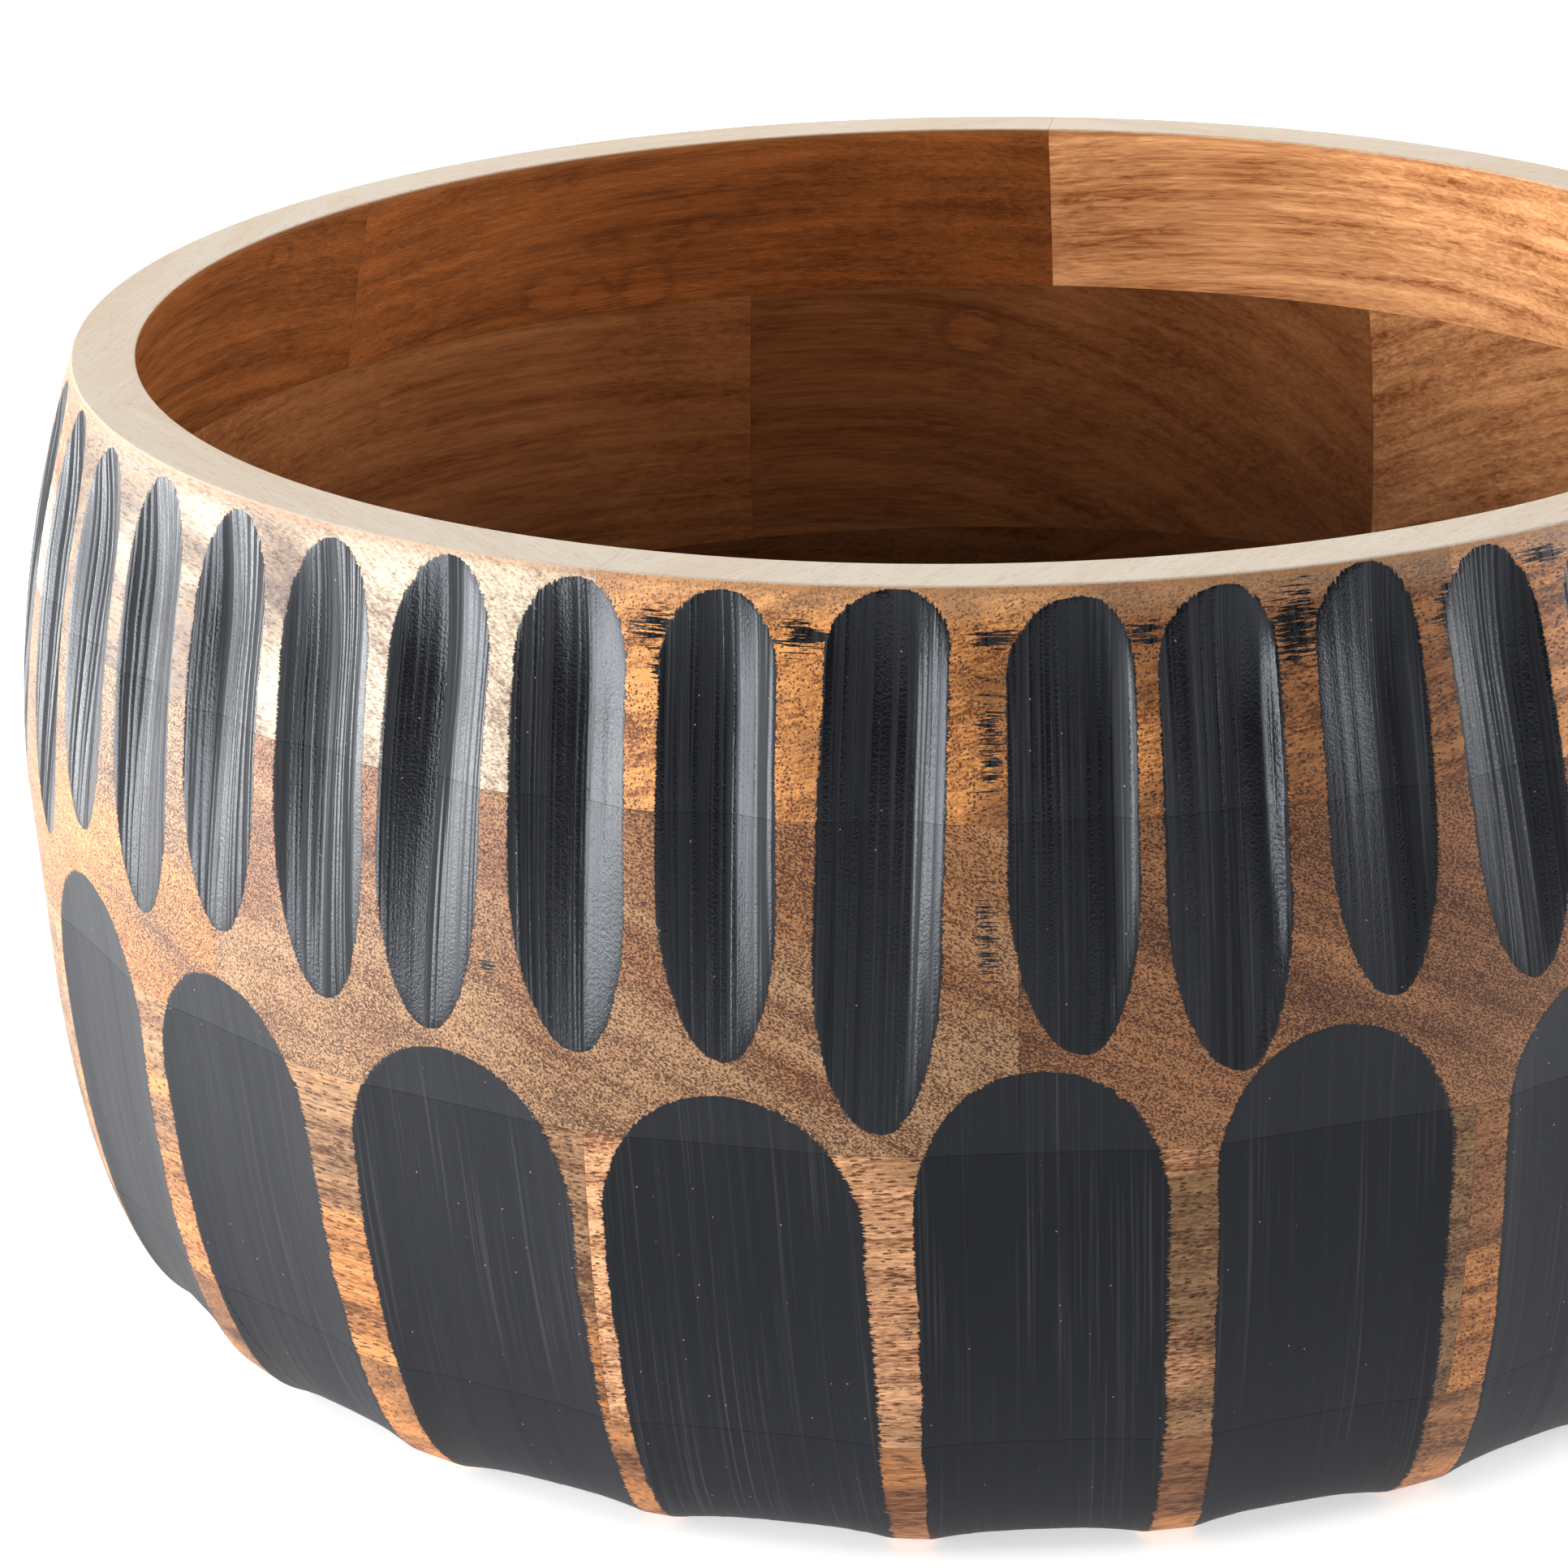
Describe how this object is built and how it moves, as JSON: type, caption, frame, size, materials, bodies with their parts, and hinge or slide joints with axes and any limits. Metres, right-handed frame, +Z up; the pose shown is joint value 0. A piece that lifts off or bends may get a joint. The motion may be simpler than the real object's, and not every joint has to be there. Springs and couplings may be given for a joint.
{
  "type": "carved wooden bowl",
  "caption": "Round bellied wooden bowl glued up from staggered rings of blocks on a plank base, carved outside with rows of black-painted gouge cuts; holds fruit, bread or salad.",
  "frame": {"origin": "middle of the flat underside, on the bowl's turning axis", "axes": "+Z up along the turning axis, -Y towards the side that the picture shows, +X to its right"},
  "size_m": [0.3022, 0.3022, 0.1472],
  "materials": {
    "top_ring_wood": "oiled orange-brown wood, gouge cuts painted matte black, rim left pale",
    "middle_ring_wood": "oiled mid-brown wood, gouge cuts painted matte black",
    "lower_ring_wood": "oiled pinkish-tan wood, gouge cuts painted matte black",
    "base_wood": "oiled dark brown wood, gouge cuts painted matte black"
  },
  "bodies": {
    "root": {"top_ring_block_1": "top_ring_wood", "top_ring_block_2": "top_ring_wood", "top_ring_block_3": "top_ring_wood", "top_ring_block_4": "top_ring_wood", "top_ring_block_5": "top_ring_wood", "top_ring_block_6": "top_ring_wood", "top_ring_block_7": "top_ring_wood", "middle_ring_block_1": "middle_ring_wood", "middle_ring_block_2": "middle_ring_wood", "middle_ring_block_3": "middle_ring_wood", "middle_ring_block_4": "middle_ring_wood", "middle_ring_block_5": "middle_ring_wood", "middle_ring_block_6": "middle_ring_wood", "middle_ring_block_7": "middle_ring_wood", "lower_ring_block_1": "lower_ring_wood", "lower_ring_block_2": "lower_ring_wood", "lower_ring_block_3": "lower_ring_wood", "lower_ring_block_4": "lower_ring_wood", "lower_ring_block_5": "lower_ring_wood", "lower_ring_block_6": "lower_ring_wood", "lower_ring_block_7": "lower_ring_wood", "base_plank_1": "base_wood", "base_plank_2": "base_wood", "base_plank_3": "base_wood", "base_plank_4": "base_wood", "base_plank_5": "base_wood"}
  },
  "joints": []
}
